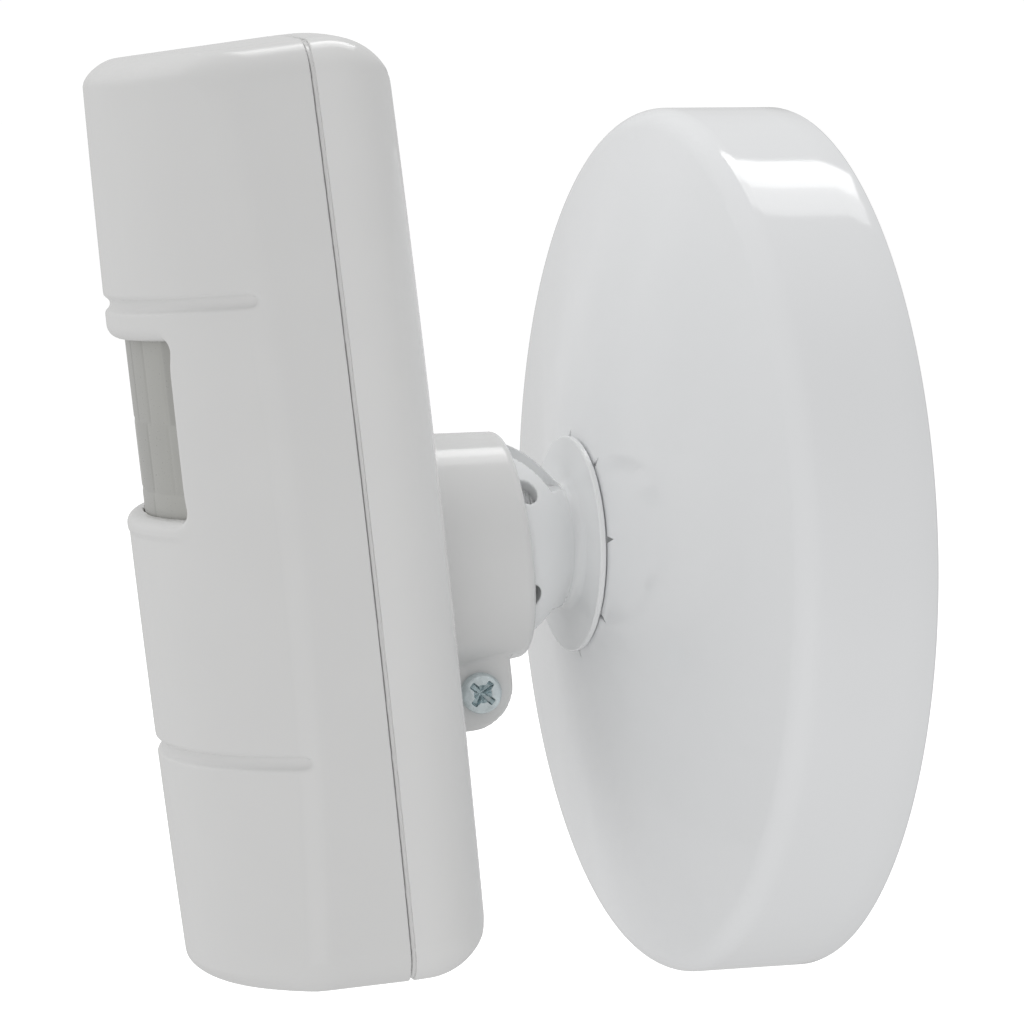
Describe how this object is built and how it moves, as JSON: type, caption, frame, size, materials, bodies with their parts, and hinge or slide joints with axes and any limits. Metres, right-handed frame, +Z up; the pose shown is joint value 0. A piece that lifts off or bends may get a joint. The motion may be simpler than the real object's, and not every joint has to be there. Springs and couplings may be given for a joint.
{
  "type": "motion sensor",
  "caption": "Wall or ceiling passive infrared motion sensor with a curved lens window, on a clamped slotted ball and a round canopy that covers an electrical box.",
  "frame": {"origin": "centre of the canopy's back rim, on the wall plane", "axes": "+Z up, +Y into the wall, the sensor faces -Y"},
  "size_m": [0.115, 0.0934, 0.125],
  "materials": {
    "white_shell": "smooth gloss white moulding",
    "lens_sheet": "translucent grey-white polyethylene sheet",
    "zinc_steel": "bright zinc plate with a blue tint",
    "strap_steel": "zinc plated pressed steel",
    "brass_pipe": "plain brass",
    "ground_green": "green lacquer",
    "nylon": "natural nylon",
    "board_green": "solder mask",
    "can_steel": "nickel plated can",
    "filter_dark": "dark infrared filter",
    "led_red": "tinted clear epoxy",
    "case_black": "moulded epoxy",
    "sleeve_navy": "shrunk sleeve",
    "chip_tan": "fired ceramic",
    "terminal_green": "glossy nylon",
    "switch_red": "glossy moulding",
    "switch_white": "plain moulding",
    "trimmer_blue": "glossy moulding"
  },
  "bodies": {
    "base": {"canopy": "white_shell", "mounting_strap": "strap_steel", "threaded_nipple": "brass_pipe", "lock_nut": "strap_steel", "ground_screw": "ground_green"},
    "hub": {"hub_ball": "white_shell"},
    "seat": {"ball_seat": "nylon"},
    "head": {"rear_housing": "white_shell", "clamp_nut": "zinc_steel", "circuit_board": "board_green", "board_screws": "zinc_steel", "pyro_holder": "nylon", "pyro_sensor": "can_steel", "pyro_window": "filter_dark", "indicator_led": "led_red", "relay": "case_black", "main_capacitor": "sleeve_navy", "small_capacitor": "sleeve_navy", "control_chip": "case_black", "chip_parts": "chip_tan", "terminal_block": "terminal_green", "terminal_screws": "zinc_steel", "dip_switch": "switch_red", "trimmer_bases": "trimmer_blue"},
    "clamp_screw": {"clamp_screw": "zinc_steel"},
    "cover": {"front_cover": "white_shell", "fresnel_lens": "lens_sheet", "lens_retainer": "nylon"},
    "dip_slider_1": {"dip_slider_1": "switch_white"},
    "dip_slider_2": {"dip_slider_2": "switch_white"},
    "dip_slider_3": {"dip_slider_3": "switch_white"},
    "dip_slider_4": {"dip_slider_4": "switch_white"},
    "delay_rotor": {"delay_rotor": "switch_white"},
    "range_rotor": {"range_rotor": "switch_white"}
  },
  "joints": [
    {"name": "hub_swivel", "type": "hinge", "parent": "base", "child": "hub", "pos_m": [0, 0, 0], "axis": [0, 1, 0], "range_deg": [-170, 170]},
    {"name": "ball_pan", "type": "hinge", "parent": "hub", "child": "seat", "pos_m": [0, -0.0426, 0], "axis": [0, 0, 1], "range_deg": [-13, 25]},
    {"name": "ball_tilt", "type": "hinge", "parent": "seat", "child": "head", "pos_m": [0, -0.0426, 0], "axis": [0.9945, -0.1045, 0], "range_deg": [-25, 13]},
    {"name": "clamp_screw_turn", "type": "hinge", "parent": "head", "child": "clamp_screw", "pos_m": [0.00699, -0.04351, -0.01842], "axis": [0.9945, -0.1045, 0], "continuous": true},
    {"name": "cover_pull", "type": "slide", "parent": "head", "child": "cover", "axis": [-0.104, -0.9891, -0.1045], "range_m": [0, 0.04]},
    {"name": "dip_slider_1_slide", "type": "slide", "parent": "head", "child": "dip_slider_1", "axis": [-0.0109, -0.104, 0.9945], "range_m": [0, 0.0012]},
    {"name": "dip_slider_2_slide", "type": "slide", "parent": "head", "child": "dip_slider_2", "axis": [-0.0109, -0.104, 0.9945], "range_m": [0, 0.0012]},
    {"name": "dip_slider_3_slide", "type": "slide", "parent": "head", "child": "dip_slider_3", "axis": [-0.0109, -0.104, 0.9945], "range_m": [0, 0.0012]},
    {"name": "dip_slider_4_slide", "type": "slide", "parent": "head", "child": "dip_slider_4", "axis": [-0.0109, -0.104, 0.9945], "range_m": [0, 0.0012]},
    {"name": "delay_turn", "type": "hinge", "parent": "head", "child": "delay_rotor", "pos_m": [0.00939, -0.06807, -0.00371], "axis": [-0.104, -0.9891, -0.1045], "range_deg": [-135, 135]},
    {"name": "range_turn", "type": "hinge", "parent": "head", "child": "range_rotor", "pos_m": [0.00952, -0.06682, -0.01565], "axis": [-0.104, -0.9891, -0.1045], "range_deg": [-135, 135]}
  ]
}
